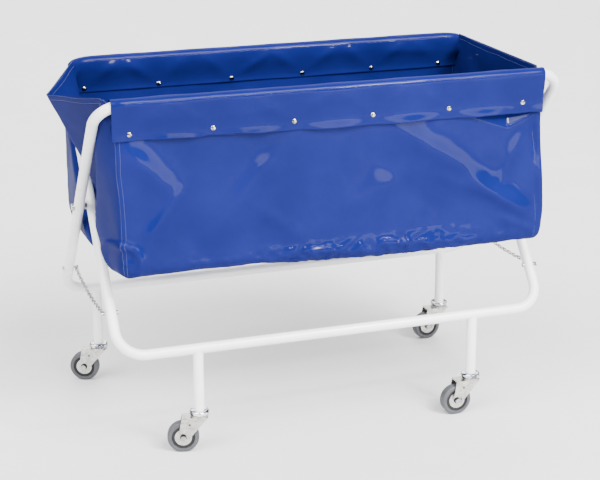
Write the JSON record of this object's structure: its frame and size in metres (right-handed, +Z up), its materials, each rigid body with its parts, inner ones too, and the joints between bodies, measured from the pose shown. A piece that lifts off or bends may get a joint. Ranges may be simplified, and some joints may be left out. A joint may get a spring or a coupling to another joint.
{
  "type": "linen trolley",
  "caption": "Folding cross-frame linen trolley with white tube frames, a blue coated bag held over the top rails by press studs, and swivel casters.",
  "frame": {"origin": "on the floor, midway between the four casters, under the pivot bolts", "axes": "+X along the rails to the right, +Y to the rear, +Z up"},
  "size_m": [1.1922, 0.568, 0.8547],
  "materials": {
    "white_powder_coat": "gloss powder coat",
    "zinc_plated_steel": "zinc plated",
    "nickel_studs": "nickel plated",
    "blue_coated_fabric": "gloss coated",
    "chrome_race": "polished",
    "zinc_fork": "zinc plated sheet",
    "grey_tyre": "grey rubber",
    "black_wheel_centre": "satin",
    "bright_hub_plate": "zinc plated"
  },
  "bodies": {
    "outer_frame": {"outer_top_rail": "white_powder_coat", "outer_bottom_rail": "white_powder_coat", "outer_side_left": "white_powder_coat", "outer_side_right": "white_powder_coat", "rear_leg_left": "white_powder_coat", "rear_leg_right": "white_powder_coat", "pivot_bolts": "zinc_plated_steel", "pivot_nuts": "zinc_plated_steel", "pivot_spacers": "zinc_plated_steel", "outer_chain_bolts": "zinc_plated_steel", "bag_front_hem": "blue_coated_fabric", "bag_front_panel": "blue_coated_fabric", "bag_rear_panel": "blue_coated_fabric", "bag_left_end": "blue_coated_fabric", "bag_right_end": "blue_coated_fabric", "bag_bottom": "blue_coated_fabric", "front_stud_caps": "nickel_studs", "front_stud_backs": "nickel_studs", "rear_left_stem": "zinc_plated_steel", "rear_left_race": "chrome_race", "rear_right_stem": "zinc_plated_steel", "rear_right_race": "chrome_race"},
    "inner_frame": {"inner_top_rail": "white_powder_coat", "inner_bottom_rail": "white_powder_coat", "inner_side_left": "white_powder_coat", "inner_side_right": "white_powder_coat", "front_leg_left": "white_powder_coat", "front_leg_right": "white_powder_coat", "inner_chain_bolts": "zinc_plated_steel", "bag_rear_hem": "blue_coated_fabric", "rear_stud_caps": "nickel_studs", "rear_stud_backs": "nickel_studs", "front_left_stem": "zinc_plated_steel", "front_left_race": "chrome_race", "front_right_stem": "zinc_plated_steel", "front_right_race": "chrome_race"},
    "front_left_swivel": {"front_left_fork": "zinc_fork", "front_left_axle": "zinc_plated_steel"},
    "front_left_wheel": {"front_left_tyre": "grey_tyre", "front_left_wheel_core": "black_wheel_centre", "front_left_hub_plates": "bright_hub_plate"},
    "front_right_swivel": {"front_right_fork": "zinc_fork", "front_right_axle": "zinc_plated_steel"},
    "front_right_wheel": {"front_right_tyre": "grey_tyre", "front_right_wheel_core": "black_wheel_centre", "front_right_hub_plates": "bright_hub_plate"},
    "rear_left_swivel": {"rear_left_fork": "zinc_fork", "rear_left_axle": "zinc_plated_steel"},
    "rear_left_wheel": {"rear_left_tyre": "grey_tyre", "rear_left_wheel_core": "black_wheel_centre", "rear_left_hub_plates": "bright_hub_plate"},
    "rear_right_swivel": {"rear_right_fork": "zinc_fork", "rear_right_axle": "zinc_plated_steel"},
    "rear_right_wheel": {"rear_right_tyre": "grey_tyre", "rear_right_wheel_core": "black_wheel_centre", "rear_right_hub_plates": "bright_hub_plate"},
    "outer_chain_left_swing": {"outer_chain_left": "zinc_plated_steel"},
    "inner_chain_left_swing": {"inner_chain_left": "zinc_plated_steel"},
    "outer_chain_right_swing": {"outer_chain_right": "zinc_plated_steel"},
    "inner_chain_right_swing": {"inner_chain_right": "zinc_plated_steel"}
  },
  "joints": [
    {"name": "fold", "type": "hinge", "parent": "outer_frame", "child": "inner_frame", "pos_m": [0, 0, 0.548], "axis": [1, 0, 0], "range_deg": [0, 76], "deforming": ["bag_front_hem", "bag_front_panel", "bag_rear_panel", "bag_left_end", "bag_right_end", "bag_bottom"]},
    {"name": "front_left_turn", "type": "hinge", "parent": "inner_frame", "child": "front_left_swivel", "pos_m": [-0.346, -0.25171, 0.09], "axis": [0, 0, 1], "continuous": true},
    {"name": "front_left_roll", "type": "hinge", "parent": "front_left_swivel", "child": "front_left_wheel", "pos_m": [-0.38384, -0.24227, 0.0375], "axis": [0.2419, 0.9703, 0], "continuous": true},
    {"name": "front_right_turn", "type": "hinge", "parent": "inner_frame", "child": "front_right_swivel", "pos_m": [0.346, -0.25171, 0.09], "axis": [0, 0, 1], "continuous": true},
    {"name": "front_right_roll", "type": "hinge", "parent": "front_right_swivel", "child": "front_right_wheel", "pos_m": [0.307, -0.25171, 0.0375], "axis": [0, 1, 0], "continuous": true},
    {"name": "rear_left_turn", "type": "hinge", "parent": "outer_frame", "child": "rear_left_swivel", "pos_m": [-0.48, 0.25171, 0.09], "axis": [0, 0, 1], "continuous": true},
    {"name": "rear_left_roll", "type": "hinge", "parent": "rear_left_swivel", "child": "rear_left_wheel", "pos_m": [-0.51535, 0.26819, 0.0375], "axis": [0.4226, 0.9063, 0], "continuous": true},
    {"name": "rear_right_turn", "type": "hinge", "parent": "outer_frame", "child": "rear_right_swivel", "pos_m": [0.48, 0.25171, 0.09], "axis": [0, 0, 1], "continuous": true},
    {"name": "rear_right_roll", "type": "hinge", "parent": "rear_right_swivel", "child": "rear_right_wheel", "pos_m": [0.44105, 0.24967, 0.0375], "axis": [-0.0523, 0.9986, 0], "continuous": true},
    {"name": "outer_chain_left_drop", "type": "hinge", "parent": "outer_frame", "child": "outer_chain_left_swing", "pos_m": [-0.543, 0.17933, 0.33951], "axis": [1, 0, 0], "range_deg": [0, 82], "deforming": ["outer_chain_left"]},
    {"name": "inner_chain_left_drop", "type": "hinge", "parent": "inner_frame", "child": "inner_chain_left_swing", "pos_m": [-0.547, -0.17933, 0.33951], "axis": [1, 0, 0], "range_deg": [-158, 0], "deforming": ["inner_chain_left"]},
    {"name": "outer_chain_right_drop", "type": "hinge", "parent": "outer_frame", "child": "outer_chain_right_swing", "pos_m": [0.543, 0.17933, 0.33951], "axis": [1, 0, 0], "range_deg": [0, 82], "deforming": ["outer_chain_right"]},
    {"name": "inner_chain_right_drop", "type": "hinge", "parent": "inner_frame", "child": "inner_chain_right_swing", "pos_m": [0.547, -0.17933, 0.33951], "axis": [1, 0, 0], "range_deg": [-158, 0], "deforming": ["inner_chain_right"]}
  ],
  "couplings": [
    {"joint": "outer_chain_left_drop", "follows": "fold", "ratio": 1.0526},
    {"joint": "inner_chain_left_drop", "follows": "fold", "ratio": -2.0526},
    {"joint": "outer_chain_right_drop", "follows": "fold", "ratio": 1.0526},
    {"joint": "inner_chain_right_drop", "follows": "fold", "ratio": -2.0526}
  ]
}
